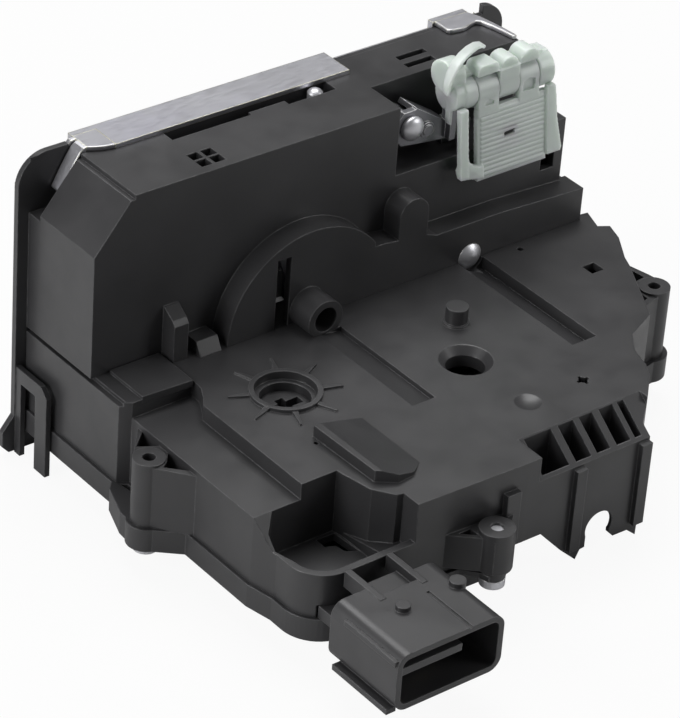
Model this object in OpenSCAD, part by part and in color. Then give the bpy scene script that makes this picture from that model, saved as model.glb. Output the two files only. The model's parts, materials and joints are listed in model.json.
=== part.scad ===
// Car door lock: a latch box with claw and pawl behind a metal faceplate,
// and a flat actuator housing with key hub, worm drive and connector socket.
// All sizes in millimetres. The origin is on the key hub axis at the panel's top face;
// X runs along the latch box, Y towards the faceplate, Z out of the panel.

/* [Housing] */
// Thickness of the moulded plastic walls
wall = 2; // [1.7:0.1:2.3]
// Depth of the parting line below the panel
rim_z = 22; // [21.5:0.25:23]
// Depth of the base tray's underside below the panel
base_z = 28; // [27.5:0.25:29]
// How far the base rim stands out past the cover
rim_proud = 0.8; // [0.5:0.1:1]
// Depth of the drain channel along the left edge
channel_depth = 4.2; // [3.5:0.1:5]
// Depth of the outer wall's top round the bay above the connector
bay_depth = 10.5; // [9.5:0.25:11]
// Depth of the bay's floor
bay_floor = 16.5; // [16:0.25:17]
// Outer radius of the ring round the key hub
ring_r = 8.65; // [8.4:0.05:9.5]
// Number of spokes round the ring
spoke_count = 8; // [6:1:10]
// Radius of the screw holes in the bosses
boss_hole_r = 1.55; // [1.55:0.05:1.7]

/* [Latch box] */
// Right end of the latch box's flange
end_x = 106; // [105.5:0.25:107]
// Height of the latch box above the panel
box_top = 45.5; // [45:0.25:46]
// Height of the ledge in front of the recess
ledge_top = 27; // [26:0.25:27.25]
// Height of the guard bar on the panel
guard_h = 3; // [2:0.25:4]
// Thickness of the metal faceplate
plate_t = 1.8; // [1.5:0.1:2.2]
// Thickness of the folded metal strip
strip_t = 1.2; // [1:0.1:1.5]
// Core radius of the threaded fixing holes, M6
thread_r = 2.5; // [2.4:0.05:2.6]

/* [Claw and pawl] */
// Radius of the claw's rim
claw_r = 26; // [25.5:0.1:26.2]
// Thickness of claw and pawl
claw_t = 6; // [5:0.25:6.25]
// Height of the claw's striker notch
notch_h = 11; // [10.5:0.1:11.2]
// Radius of the claw's rivet
claw_pin_r = 5; // [4.5:0.1:5.5]
// Radius of the pawl's rivet
pawl_pin_r = 4; // [3.6:0.1:4.4]

/* [Actuator] */
// Number of teeth on the worm wheel
wheel_teeth = 24; // [24:1:24]
// Axial pitch of the worm's thread
worm_pitch = 3; // [2.95:0.05:3]
// Radius of the gear posts
post_r = 2.5; // [2.3:0.1:2.7]
// Radius of the motor shaft
shaft_r = 1; // [0.9:0.05:1.2]
// Height of the flat-sided motor can
motor_h = 15; // [14:0.5:16]

/* [Connector] */
// Width of the connector shell
socket_w = 29.7; // [29:0.1:30]
// Height of the connector shell
socket_h = 15; // [14.5:0.1:15.2]
// Wall of the connector shell
socket_wall = 1.5; // [1.3:0.1:1.7]
// Side of the square terminals
pin_w = 0.9; // [0.8:0.05:1]

/* [Rod clip] */
// Radius of the lever's cross pin
rod_r = 1.8; // [1.6:0.1:2]
// Radius of the clip's knuckles
knuckle_r = 4.6; // [4.4:0.1:4.7]
// Number of grip ridges on the flap
ridge_count = 14; // [10:1:16]

/* [Hidden] */
$fn = 48;
// Radial clearance of the running fits
fit = 0.05;
// Distance kept between pieces that pass each other
gap = 0.3;
// Latch box faces: left, front, recess step, recess face, ledge end, upper right end
box_x0 = -34.5;
box_y = 28.5;
step_x = 52.5;
recess_y = 40.1;
ledge_x = end_x + 0.2;
box_x1 = end_x - 7.5;
// Rear layers: web, claw cavity, flange front and back, faceplate back
web_y = 44.2;
cavity_y = web_y + 2;
claw_y = cavity_y + 2;
plate_y = claw_y + claw_t + 2;
back_y = plate_y + plate_t;
flange_y = plate_y - 1.5;
// Striker slot centre and width
slot_x = 29;
slot_w = 14;
notch_w = 19;
// Claw and pawl pivots as [x, z], claw tooth radii
claw_p = [7, 12];
pawl_p = [49, -14];
tooth_r = claw_r + 6;
pre_r = claw_r + 2.9;
claw_open = 60;
pawl_lift = 15;
// Worm drive
wheel_r = wheel_teeth * worm_pitch / (2 * PI);
worm_r = 3.1;
worm_e = 0.9;
worm_y = -1;
worm_z = -16;
wheel_x = 41;
wheel_y = worm_y + wheel_r + worm_r + 0.14;
// Screw bosses as [x, y, top, radius, depth of the screw tip, foot, underside of the base's ear]
bosses = [
  [-37, 1.6, -5, 3.85, 7, rim_z, base_z],
  [17, -56.9, -10, 4.25, 0.6, rim_z - 1.5, rim_z + 1.4],
  [end_x + 1.5, -7.5, -3, 4, 7, rim_z, base_z]
];
// Threaded fixings as [x, z]
fixings = [[-26.5, 26], [64, 28], [90, -20]];
// Lever rivet as [x, z]; cross pin as [y, z]
lever_p = [59.3, 36.4];
rod_p = [32, 42];
// Knuckles of the rod clip and of its flap along X
clip_k = [[72.3, 77.8], [86, 91], [98, 102.8]];
flap_k = [[78.1, 85.7], [91.3, 97.7]];
black = [0.1, 0.1, 0.11];
zinc = [0.75, 0.74, 0.68];
steel = [0.6, 0.6, 0.62];
pale = [0.82, 0.88, 0.8];

module slab(z0, z1) translate([0, 0, z0]) linear_extrude(z1 - z0) children();
module slab_y(y0, y1) translate([0, y1, 0]) rotate([90, 0, 0]) linear_extrude(y1 - y0) children();
module slab_x(x0, x1) translate([x0, 0, 0]) rotate([90, 0, 90]) linear_extrude(x1 - x0) children();
module block(a, b) translate(a) cube(b - a);
module disc(x, y, z0, z1, r) translate([x, y, z0]) cylinder(h = z1 - z0, r = r);
module disc_y(x, z, y0, y1, r) translate([x, y1, z]) rotate([90, 0, 0]) cylinder(h = y1 - y0, r = r);
module disc_x(y, z, x0, x1, r) translate([x0, y, z]) rotate([0, 90, 0]) cylinder(h = x1 - x0, r = r);
module wedge(r, a0, a1) polygon(concat([[0, 0]], [for (i = [0:6]) let (a = a0 + (a1 - a0) * i / 6)
    1.4 * r * [cos(a), sin(a)]]));
module rounded(w, h, r) {
  translate([r, 0]) square([w - 2 * r, h]);
  translate([0, r]) square([w, h - 2 * r]);
  for (x = [r, w - r], y = [r, h - r]) translate([x, y]) circle(r = r);
}

// Plan of the cover, with the striker notch open to the back
module cover_plan() {
  polygon([
    [-34.7, 54.5], [-34.7, 17], [-32, 15.3], [-32, -31], [-30.5, -38], [-30.5, -42.2], [-21.5, -51.2],
    [-1.4, -51.2], [29.3, -52.2], [66.6, -52.2], [66.6, -49.3], [70.5, -46], [76.6, -39.9], [78.9, -35.9],
    [80.8, -29.9], [84.9, -24.4], [end_x - 11.5, -20], [end_x - 1, -0.9], [end_x + 0.6, 2.8],
    [end_x + 5.6, 10.7], [end_x + 7.4, 16.1], [end_x + 4.7, 17.7], [end_x + 6.9, 24], [end_x + 3, 24.5],
    [end_x + 3, 32.5], [end_x, 32.5], [end_x, 54.5],
    [slot_x + notch_w / 2, 54.5], [slot_x + notch_w / 2, 32],
    [slot_x - notch_w / 2, 32], [slot_x - notch_w / 2, 54.5]
  ]);
  translate([-21.5, -42.2]) circle(r = 9);
}

module bay_plan() polygon([[-27, -31], [-9.2, -31], [-7.2, -41], [-3.7, -45.7], [-2, -46], [-2, -60],
  [-60, -60], [-60, -36.8], [-27, -36.8]]);

module basin_plan() {
  polygon([[-27, -31], [-9.2, -31], [-7.2, -41], [-3.7, -45.7], [-2, -46], [-2, -49.4], [-21.5, -49.4],
    [-28.7, -42.2], [-30, -37], [-30, -34]]);
  translate([-21.5, -42.2]) circle(r = 7.2);
}

// Room above the channel, bay and ladder; g grows it into the wall below
module lowered(g) {
  slab(-channel_depth - g, 5) offset(delta = g) polygon([[-60, 14.8], [-30.2, 15.3], [-15, 15.7],
    [-15.3, 12], [-17.2, 8.5], [-19, 6], [-19, -31], [-60, -31]]);
  slab(-bay_depth - g, 5) offset(delta = g) bay_plan();
  slab_x(-60, -27 + g) polygon([[-30.9 + g, 5], [-30.9 + g, -channel_depth - g],
    [-36.8 + g, -bay_depth - g], [-70, -bay_depth - g], [-70, 5]]);
  slab(-bay_floor - g, 5) offset(delta = g) basin_plan();
  if (g == 0) slab_x(33, 70) polygon([[-43.6, 0], [-52.2, -6.6], [-70, -6.6], [-70, 5], [-43.6, 5]]);
  else block([33 - g, -60, -60], [66.6 + g, -43 + g, 5]);
}

// Posts and underside of the circuit carrier
carrier_z = -base_z + wall + 1.4;
carrier_posts = [[-22, -42], [19, -42], [-22, -18], [26, -18]];

// Space behind both housing halves for the rear of the latch box
module rear_room(z0) {
  block([-32.4, web_y - 2 - gap, z0], [end_x - 2, 60, 1]);
  block([-60, 54.6, -60], [130, 70, 5]);
}

module boss_bodies() {
  difference() {
    slab(-rim_z, -5.6) polygon([[-31, 13.8], [-32, 13], [-38.5, 5.6], [-40.4, 3], [-40.4, 0], [-38.4, -2],
      [-32, -9.7], [-31, -9.7]]);
    slab(-16, 0) polygon([[-32, 11.2], [-36.6, 7.2], [-34.6, 6], [-32, 4.6]]);
    slab(-16, 0) polygon([[-32, 1.2], [-34.2, -1.4], [-36.2, -2.8], [-31.8, -7.3]]);
  }
  difference() {
    slab(-bosses[1][5], -11.5) polygon([[6, -51], [12.8, -57.2], [14, -60], [20, -60], [21.2, -57.2],
      [27, -51]]);
    slab(-19, 0) polygon([[9.5, -52.6], [12.9, -55.6], [12.9, -52.6]]);
    slab(-19, 0) polygon([[24, -52.6], [21.1, -55.4], [21.1, -52.6]]);
  }
  block([22.6, -53.6, -rim_z + 2], [26.6, -51, -6]);
  translate([end_x - 106, 0, 0]) difference() {
    slab(-rim_z, -3.8) polygon([[98, -13], [104.4, -11.4], [110.6, -9.9], [111.4, -6.5], [110.8, -2],
      [109.4, 4], [106.6, 5], [104, 2]]);
    slab(-15, 0) polygon([[101.8, -10.4], [103.2, -10], [103.2, -5], [102.6, -7]]);
    slab(-15, 0) polygon([[104.8, 1.4], [108.4, 2.6], [109, -2.2], [106, -2.6]]);
  }
  for (b = bosses) disc(b[0], b[1], -b[5], b[2], b[3]);
}

module ladder() {
  for (x = [[34.5, 42.5], [44.6, 49.2], [51, 55], [57, 61.2], [62.6, 64.6]])
    block([x[0], -51.3, -60], [x[1], -43.9, 5]);
}

module apron() {
  difference() {
    slab_y(-52.2, -51.2) polygon([[33, -6.8], [33.6, -20.4], [42.1, -29.4], [47, -33.9], [48.2, -31.5],
      [49.9, -31.3], [56.6, -29.7], [58.4, -31.6], [62.8, -31.7], [65.7, -34.1], [66.6, -6.8]]);
    disc_y(53.4, -26.9, -53, -50, 4.1);
    block([49.6, -53, -40], [56.9, -50, -26.9]);
  }
  for (x = [43.6, 63.4]) block([x, -53.6, -30], [x + 3, -52, -7.4]);
}

module panel_marks() {
  // drain grooves with one sharp edge each
  slab_y(-20, 15.6) polygon([[28, 0.1], [28, -1.4], [21.3, 0], [21.3, 0.1]]);
  slab_y(-20.3, 21.7) polygon([[77, 0.1], [77, -3.4], [69.6, 0], [69.6, 0.1]]);
  // stepped socket of the key hub
  disc(0, 0, -1.2, 2, 7.4);
  disc(0, 0, -6, 2, 6.05);
  // chamfered hole
  translate([44, -11.7, -1.8]) cylinder(h = 1.81, r1 = 4.75, r2 = 6.56);
  disc(44, -11.7, -10, 0, 4.75);
  slab(-3, 1) translate([96.6, 3.3]) square(3.8, center = true);
  disc(87.1, 19.6, -3, 1, 0.85);
  disc(61.8, -33, -3, 1, 1.1);
  for (a = [0, 90]) slab(-3, 1) translate([61.8, -33]) rotate(a) square([3.4, 0.9], center = true);
  translate([44.9, -33.1, 7.43]) sphere(r = 8.13);
  disc(-6.5, -20, -0.8, 1, 0.6);
  // relief for the rivet head at the foot of the latch box
  disc_y(73.2, 1, 18.5, 22.6, 3.7);
  // opening in the bay floor
  slab(-bay_floor - wall - 1, -bay_floor + 2) polygon([[-14.4, -32], [-9.4, -32], [-8.8, -40.4],
    [-11.6, -38.8], [-12, -36], [-14.4, -35.2]]);
}

module actuator_cover() color(black) difference() {
  union() {
    difference() {
      slab(-rim_z, 0) cover_plan();
      lowered(0);
      difference() {
        slab(-rim_z - 1, -wall) offset(delta = -wall) cover_plan();
        lowered(wall);
      }
    }
    boss_bodies();
    apron();
    disc(0, 0, -0.5, 1, ring_r);
    disc(0, 0, -4, -1, 9.4);
    for (i = [0:spoke_count - 1]) rotate(i * 360 / spoke_count + 22.5)
      slab(-0.5, 0.6) polygon([[ring_r - 0.5, -0.7], [13.7, -0.25], [13.7, 0.25], [ring_r - 0.5, 0.7]]);
    intersection() {
      slab(-0.5, 6) polygon([[-5.5, -17.5], [-4.9, -39], [-0.5, -42.2], [4.2, -41.8], [8.5, -38.5],
        [8.5, -17.5]]);
      slab_y(-50, -10) polygon([[-6, -0.4], [-6, guard_h], [-3.6, guard_h], [8.5, 0], [8.5, -0.4]]);
    }
    disc(52.5, 2.3, -0.5, 4.5, 2.75);
    disc(52.5, 2.3, -0.5, 0.5, 3.3);
    disc(44, -11.7, -5, -1, 6.6);
    // material under the two drain grooves
    block([20, -21, -3.4], [30, 17, -1]);
    block([66.5, -22, -5.4], [80, 23, -1]);
    // raised pad by the latch box, floor behind the front wall
    slab(-1, 0.8) polygon([[-29.4, 15.2], [-15.6, 14.6], [-15.6, 28.2], [-29.4, 28.2]]);
    block([22.5, -51.5, -rim_z], [33.5, -42.6, -rim_z + 1.6]);
    // sloping shelf along the bay's right side
    intersection() {
      slab(-bay_floor - 1, 0) basin_plan();
      slab_x(-8.6, -2) polygon([[-31, -bay_floor - 1], [-31, -bay_floor + 0.5], [-49.4, -bay_floor + 4],
        [-49.4, -bay_floor - 1]]);
    }
    // pivot post of the inside lever, under the latch box
    disc(8, 35.5, -1, 6, 2);
    // upper bearing block of the gear post
    disc(wheel_x, wheel_y, -8.4, -1, 5);
  }
  panel_marks();
  ladder();
  for (b = bosses) disc(b[0], b[1], -rim_z - 1, 5, boss_hole_r);
  disc(wheel_x, wheel_y, -9, -wall - 1, post_r + fit);
  block([-40, 16.5, -1], [-33.2, 60, 1]);
  block([-27.3, -53, -rim_z - 1], [-5.7, -48, -18.6]);
  rear_room(-rim_z - 1);
}

module base_plan() difference() {
  union() {
    offset(delta = rim_proud) cover_plan();
    polygon([[-34.7, 18.5], [-37.4, 15.7], [-40.6, 6.9], [-41, 1.6], [-38.5, -3], [-31, -9.5]]);
    translate([end_x - 106, 0]) polygon([[98, -14], [104, -12.8], [111, -11.4], [112.6, -6.5], [111, -1],
      [107, 5]]);
    translate([bosses[0][0], bosses[0][1]]) circle(r = 4.8);
    translate([bosses[2][0], bosses[2][1]]) circle(r = 5.3);
  }
  translate([24, -60]) square([44.2, 17.8]);
}

module actuator_base() color(black) difference() {
  union() {
    difference() {
      slab(-base_z, -rim_z) base_plan();
      difference() {
        slab(-base_z + wall, -rim_z + 1) offset(delta = -wall) cover_plan();
        block([22, -60, -60], [70.2, -40.2, 5]);
      }
    }
    // post and pin of the key hub
    disc(0, 0, -base_z + 1, -12, 5);
    disc(0, 0, -base_z + 1, -8, post_r);
    // post and pin of the worm wheel
    disc(wheel_x, wheel_y, -base_z + 1, -20.3, 5);
    disc(wheel_x, wheel_y, -base_z + 1, -5, post_r);
    // end bearing of the worm shaft and two motor cradles
    block([27, worm_y - 3, -base_z + 1], [29.6, worm_y + 3, -12.5]);
    for (x = [58, 76]) block([x, worm_y - 8, -base_z + 1], [x + 4, worm_y + 8, worm_z - motor_h / 2]);
    // stand-offs of the circuit carrier
    for (p = carrier_posts) disc(p[0], p[1], -base_z + 1, carrier_z, 2);
    // stiffening ribs
    for (x = [86, 96]) block([x, -12, -base_z + 1], [x + 1.4, 40, -base_z + 5]);
    for (y = [-30, -16]) block([40, y, -base_z + 1], [76, y + 1.4, -base_z + 5]);
    // ear under the front boss
    slab(-bosses[1][6], -rim_z) polygon([[9.5, -51], [13.8, -56], [14.4, -58.6], [19.6, -58.6],
      [20.2, -56], [24.5, -51]]);
    disc(bosses[1][0], bosses[1][1], -bosses[1][6], -bosses[1][5], 2.8);
  }
  disc_x(worm_y, worm_z, 26, 31, shaft_r + fit);
  for (b = bosses) disc(b[0], b[1], -base_z - 1, 5, boss_hole_r + 0.15);
  rear_room(-base_z + wall);
}

module flange_plan() {
  difference() {
    union() {
      polygon([[-39, -34], [-40.8, -32], [-40.8, -28], [-37.6, -24], [-37.6, 38], [-29.6, 46],
        [-24, 46], [-24, 45.4], [end_x - 7, 45.4], [end_x - 7, 48], [end_x, 41], [end_x, -26],
        [end_x - 8, -34]]);
      translate([-29.6, 38]) circle(r = 8);
      translate([end_x - 7, 41]) circle(r = 7);
      translate([end_x - 8, -26]) circle(r = 8);
    }
    translate([-22.2, box_top]) square([end_x + 15.4, 10]);
  }
}

module slot_plan() polygon([[slot_x - slot_w / 2, 12], [slot_x - slot_w / 2, -26],
  [slot_x - slot_w / 2 - 4, -40], [slot_x + slot_w / 2 + 4, -40], [slot_x + slot_w / 2, -26],
  [slot_x + slot_w / 2, 12]]);

module cavity_plan() {
  translate(claw_p) {
    circle(r = claw_r + 1.5);
    intersection() {
      circle(r = tooth_r + 1.5);
      wedge(tooth_r + 1.5, -72, 54);
    }
  }
  polygon([[33, 17], [50, 18.5], [58, 8], [60, -4], [81, -8], [81, -24.6], [66, -24.6], [60, -23.4],
    [44, -23], [38, -20], [33, 0]]);
}

module box_body() difference() {
  union() {
    block([box_x0, box_y, 0], [step_x, flange_y + 0.1, box_top]);
    block([step_x - 1, recess_y, 0], [box_x1, flange_y + 0.1, box_top]);
    block([step_x - 1, box_y, 0], [ledge_x, flange_y + 0.1, ledge_top]);
  }
  slab_y(20, flange_y) polygon([[-23.6, box_top + 0.1], [-23.6, box_top - 1.2], [-24.8, box_top - 1.2],
    [-35, box_top - 13.8], [-40, box_top], [-40, box_top + 5], [-23.6, box_top + 5]]);
}

module box_room() difference() {
  union() {
    block([box_x0 + wall, box_y + wall, -1], [step_x - wall, web_y, box_top - wall]);
    block([step_x - wall - 1, recess_y + wall, -1], [box_x1 - wall, web_y, box_top - wall]);
    block([step_x - wall - 1, box_y + wall, -1], [ledge_x - wall, web_y, ledge_top - wall]);
  }
  slab_y(20, 60) polygon([[-21, box_top], [-34, box_top - 15.8], [-40, box_top - 15.8], [-40, box_top + 5],
    [-21, box_top + 5]]);
  block([slot_x - 9, 38, -2], [slot_x + 9, 50, 18]);
}

// Foot of the box: an arc over the key side, a round-topped tab and a low sloping bar
module foot_plan() {
  difference() {
    translate([24, 0]) circle(r = 24);
    translate([-20, -40]) square([100, 40]);
    translate([43, -1]) square([20, 40]);
  }
  polygon([[40, 0], [40, 13.7], [46, 13.4], [58.8, 11.8], [62, 10.6], [83, 10.5], [end_x + 3, 9.1],
    [end_x + 3, 0]]);
  translate([50, 0]) square([8.8, 18.6]);
  translate([54.4, 18.6]) circle(r = 4.4);
}

module latch_case() color(black) difference() {
  union() {
    difference() {
      union() {
        box_body();
        slab_y(22.5, box_y + 1) foot_plan();
      }
      box_room();
      // hollow behind the arc
      slab_y(22.5 + wall, box_y + wall + 0.1) difference() {
        translate([24, 0]) circle(r = 22);
        translate([-20, -50]) square([100, 50]);
        translate([41, -1]) square([20, 40]);
      }
      slab_y(22.5 + wall, box_y + wall + 0.1) translate([62, -1]) square([40, 8]);
    }
    block([-32.2, web_y, -base_z + wall + gap], [end_x - 2.2, flange_y + 0.1, 1]);
    slab_y(flange_y, plate_y) flange_plan();
    // tube boss for the release cable
    difference() {
      disc_y(23, 3.8, 15, 25, 5);
      block([10, 10, -5], [40, 24.8, 0]);
    }
    // stepped bracket on the left
    slab_x(-14.6, -10.6) polygon([[23.8, 0], [23.8, 9.6], [24.8, 10.9], [28, 13], [29, 13], [29, 0]]);
    slab_x(-8, -2) polygon([[22, 0], [24, 3.4], [29, 3.4], [29, 0]]);
    // right end foot and its post
    block([end_x - 2, 29, 0], [end_x + 2, 33, 9]);
    // snap loop on the left, reaching down past the base rim
    difference() {
      slab_x(-37.3, -35.9) polygon([[42, -34.5], [42, -12.6], [44.4, -10.2], [54.9, -10.2], [54.9, -34.5]]);
      block([-38, 46.6, -40], [-35, 52.6, -14]);
    }
  }
  // claw and pawl cavity, and the way of the release link
  slab_y(cavity_y, plate_y + 1) cavity_plan();
  block([71.4, web_y - 1, 8], [78.4, plate_y + 1, 17.4]);
  block([71.4, cavity_y + 2.6, -20], [78.4, plate_y + 1, 17.4]);
  block([71.4, 34.7, ledge_top - wall - 1], [78.4, 37.3, ledge_top + 1]);
  slab_y(30.5, plate_y + 1) slot_plan();
  block([slot_x - 6.2, 38.5, 11], [slot_x + 6.2, cavity_y + 1, 14.5]);
  disc_y(claw_p[0], claw_p[1], web_y - 1, cavity_y + 1, claw_pin_r);
  disc_y(pawl_p[0], pawl_p[1], web_y - 1, cavity_y + 1, pawl_pin_r);
  for (f = fixings) disc_y(f[0], f[1], web_y - 1, plate_y + 1, 4.8);
  disc_y(lever_p[0], lever_p[1], recess_y - 1, recess_y + wall + 1, 2.2);
  // slit in the front, cable hole, vents and top slots
  block([13.6, 20, -1], [17.6, 25, 19]);
  disc_y(23, 3.8, 10, 30, 3.2);
  for (x = [-3.6, 0.2], y = [30.9, 34.3]) block([x, y, box_top - wall - 1], [x + 3, y + 2.8, box_top + 1]);
  for (s = [[-2.2, 20.5, 44.4], [20, 31.4, 45.6], [31, 45, 43.8]])
    block([s[0], s[2], box_top - 4.5], [s[1], 48.4, box_top + 1]);
  block([66.4, 43.1, box_top - 5], [74.9, 45, box_top + 1]);
  block([66.9, 47, box_top - 5], [75.4, 48.9, box_top + 1]);
  // pocket under the hook arm
  block([-40, 50.2, 31], [-22.3, flange_y, 50]);
  // small recess at the end of the ledge
  block([99.2, 27, 14], [103.4, 31, ledge_top + 1]);
  disc_y(73.2, 1, 20, 27, 0.9);
}

module plate_plan() {
  polygon([[-36.4, -25], [-36.4, 38], [-29.6, 44.4], [-22, 44.4], [-22, box_top + strip_t],
    [52.2, box_top + strip_t], [52.2, 44.4], [84.4, 44.4], [84.4, box_top + strip_t],
    [97.6, box_top + strip_t], [97.6, 46],
    [end_x - 1.4, 40], [end_x - 1.4, -26], [98, -32.6], [-30, -32.6]]);
}

// Flush, countersunk end of a rivet in the faceplate
module rivet_end(p, r) {
  disc_y(p[0], p[1], plate_y - 0.1, back_y, r);
  translate([p[0], back_y, p[1]]) rotate([90, 0, 0]) cylinder(h = 1, r1 = r + 1, r2 = r);
}

module faceplate() color(zinc) difference() {
  union() {
    slab_y(plate_y, back_y) plate_plan();
    block([-22, 48, box_top], [52.2, plate_y + 0.5, box_top + strip_t]);
    slab(box_top, box_top + strip_t) polygon([[84.4, plate_y + 0.5], [84.4, 49], [94.2, 49], [95.6, 47.6],
      [96.2, 45.6], [96.2, 39.6], [98.6, 39.6], [98.6, 52], [97.6, plate_y + 0.5]]);
    // hook arm bent down at the left end of the strip
    slab_y(50.5, 53.7) polygon([[-21.5, box_top + strip_t], [-23, box_top + 0.7], [-24.4, 44.4],
      [-26.2, 41.2], [-28.9, 36.3], [-27.9, 35.8], [-25.2, 40.6], [-23.4, 43.8], [-21.9, box_top],
      [-21.5, box_top]]);
    for (f = fixings) disc_y(f[0], f[1], back_y - 5.8, back_y, 4.4);
  }
  slab_y(plate_y - 1, back_y + 1) slot_plan();
  rivet_end(claw_p, claw_pin_r);
  rivet_end(pawl_p, pawl_pin_r);
  for (f = fixings) disc_y(f[0], f[1], back_y - 7, back_y + 1, thread_r);
}

module backing_plate() color(steel) slab_y(web_y - 2, web_y) difference() {
  polygon([[-8, -4], [-8, 26], [0, 30], [48, 30], [60, 18], [60, -18], [55, -22], [20, -22], [20, -8]]);
  slot_plan();
  translate([slot_x - 9, -40]) square([18, 58]);
  translate(claw_p) circle(r = claw_pin_r);
  translate(pawl_p) circle(r = pawl_pin_r);
}

// A rivet along Y with a head in front, a flush end behind
// and two collars that keep the moving piece in place
module latch_rivet(p, r) {
  disc_y(p[0], p[1], web_y - 3.4, plate_y, r);
  disc_y(p[0], p[1], web_y - 3.4, web_y - 2, r + 2.2);
  rivet_end(p, r);
  disc_y(p[0], p[1], cavity_y, claw_y - 0.1, r + 1.5);
  disc_y(p[0], p[1], claw_y + claw_t + 0.1, plate_y, r + 1.5);
}

// Claw outline about its pivot, drawn in the latched position
module claw_plan() difference() {
  union() {
    circle(r = claw_r);
    intersection() {
      circle(r = tooth_r);
      wedge(tooth_r, -2, 14);
    }
    intersection() {
      circle(r = pre_r);
      wedge(pre_r, 28, 38);
    }
  }
  translate([22, -0.5 - notch_h]) square([20, notch_h]);
  translate([22, -0.5 - notch_h / 2]) circle(d = notch_h);
  // cut-away behind the lower horn
  difference() {
    wedge(60, -152, -64);
    circle(r = 14);
  }
  translate([-14, 10]) circle(r = 3.2);
  circle(r = claw_pin_r + fit);
}

module claw() color(steel) slab_y(claw_y, claw_y + claw_t)
  translate(claw_p) rotate(-claw_open) claw_plan();

module claw_rivet() color(steel) latch_rivet(claw_p, claw_pin_r);

module ring_y(p, y, r, wire) translate([p[0], y, p[1]]) rotate([90, 0, 0])
  rotate_extrude() translate([r, 0]) circle(r = wire, $fn = 16);

module leg_y(p, a, r0, r1, y, wire) translate([p[0], y, p[1]]) rotate([0, -a, 0])
  translate([r0, 0, 0]) rotate([0, 90, 0]) cylinder(h = r1 - r0, r = wire, $fn = 16);

// Flat torsion springs: two turns and two straight legs each
module claw_spring() color(steel) {
  for (i = [0, 1]) ring_y(claw_p, cavity_y + 0.45 + 0.8 * i, claw_pin_r + 2.2, 0.43);
  leg_y(claw_p, 150, claw_pin_r + 2, 24, cavity_y + 0.45, 0.43);
  leg_y(claw_p, 60, claw_pin_r + 2, 20, cavity_y + 1.25, 0.43);
}

module pawl_spring() color(steel) {
  for (i = [0, 1]) ring_y(pawl_p, cavity_y + 0.45 + 0.8 * i, pawl_pin_r + 2.2, 0.43);
  leg_y(pawl_p, 75, pawl_pin_r + 2, 17, cavity_y + 1.25, 0.43);
  leg_y(pawl_p, 10, pawl_pin_r + 2, 22, cavity_y + 0.45, 0.43);
}

// Pawl, drawn with its nose under the claw's tooth and then lifted clear of the rim
module pawl() color(steel) translate([pawl_p[0], 0, pawl_p[1]]) rotate([0, pawl_lift, 0]) {
  nose = claw_p[0] + claw_r + 1.3 - pawl_p[0];
  difference() {
    union() {
      disc_y(0, 0, claw_y, claw_y + claw_t, 7.4);
      slab_y(claw_y, claw_y + claw_t)
        polygon([[nose, 24.4], [nose + 5.2, 24.4], [nose + 7.8, 20], [4, 5], [-7, 0], [nose, 10]]);
      slab_y(claw_y, claw_y + claw_t)
        polygon([[1, -6.6], [22, -1.6], [25.4, -1.2], [27, 0.8], [25.4, 3.6], [20, 3.8], [2, 6.6]]);
    }
    disc_y(0, 0, claw_y - 1, claw_y + claw_t + 1, pawl_pin_r + fit);
  }
}

module pawl_rivet() color(steel) latch_rivet(pawl_p, pawl_pin_r);

module striker_bumper() color(black) difference() {
  block([slot_x - 6.2, 38.5, 12], [slot_x + 6.2, cavity_y - 0.2, 14.5]);
  for (y = [40.5, 43.5]) disc_x(y, 12, 20, 40, 0.7);
}

module socket_plan(g) translate([-31.5 + g, -25 + g]) rounded(socket_w - 2 * g, socket_h - 2 * g, 3.4 - g);

pin_z = -20.3;
pin_cols = [for (i = [0:7]) -25 + 2.5 * i];

module connector_shell() color(black) difference() {
  union() {
    slab_y(-82.2, -59) socket_plan(0);
    slab_y(-60, -49.4) translate([-27, -21.9]) square([21, 3.2]);
    // open frame and two pegs on top
    for (x = [-22.2, -10.6]) block([x, -64.2, -14], [x + 1.6, -51.6, -9.8]);
    block([-21, -62, -13.4], [-10, -55.4, -12]);
    disc(-19.8, -69, -11, -8.7, 1.7);
    disc(-4.2, -68.6, -12, -8.7, 1.9);
    block([-32.6, -81, -25.6], [-30, -62, -24.2]);
    block([-31.9, -81.7, -12.6], [-31, -64, -11.3]);
  }
  difference() {
    slab_y(-83, -61) socket_plan(socket_wall);
    // tongue along the inside
    block([-30.4, -82, -15.5], [-13.4, -60, -13.6]);
  }
  block([-20.6, -62.4, -12], [-10.6, -58, -9]);
  for (x = pin_cols) block([x - pin_w / 2 - fit, -70, pin_z - pin_w / 2 - fit],
    [x + pin_w / 2 + fit, -40, pin_z + pin_w / 2 + fit]);
  block([-11.7, -83, -10.4], [-10.9, -67, -9]);
}

module connector_terminals() color(zinc) for (i = [0:7]) {
  x = pin_cols[i];
  end = -47 + 1.6 * (i % 2);
  block([x - pin_w / 2, -73, pin_z - pin_w / 2], [x + pin_w / 2, end, pin_z + pin_w / 2]);
  block([x - pin_w / 2, end - pin_w, carrier_z + 1.6], [x + pin_w / 2, end, pin_z + pin_w / 2]);
}

module circuit_carrier() color([0.16, 0.2, 0.17]) difference() {
  top = carrier_z + 1.6;
  union() {
    slab(carrier_z, top) polygon([[-26, -14], [-26, -41], [-27.2, -43.6], [-26.4, -46.2], [-24.6, -48],
      [-21.5, -48.7], [20, -48.7], [21.4, -47.4], [21.4, -39], [28.4, -39], [28.4, -14]]);
    for (i = [0:4]) block([-24 + 3 * i, -40, top - 0.2], [-22.6 + 3 * i, -18 + i, top + 0.3]);
    block([4, -42, top - 0.2], [11, -36, top + 2.6]);
  }
  for (p = carrier_posts) disc(p[0], p[1], carrier_z - 1, top + 1, 0.9);
}

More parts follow.
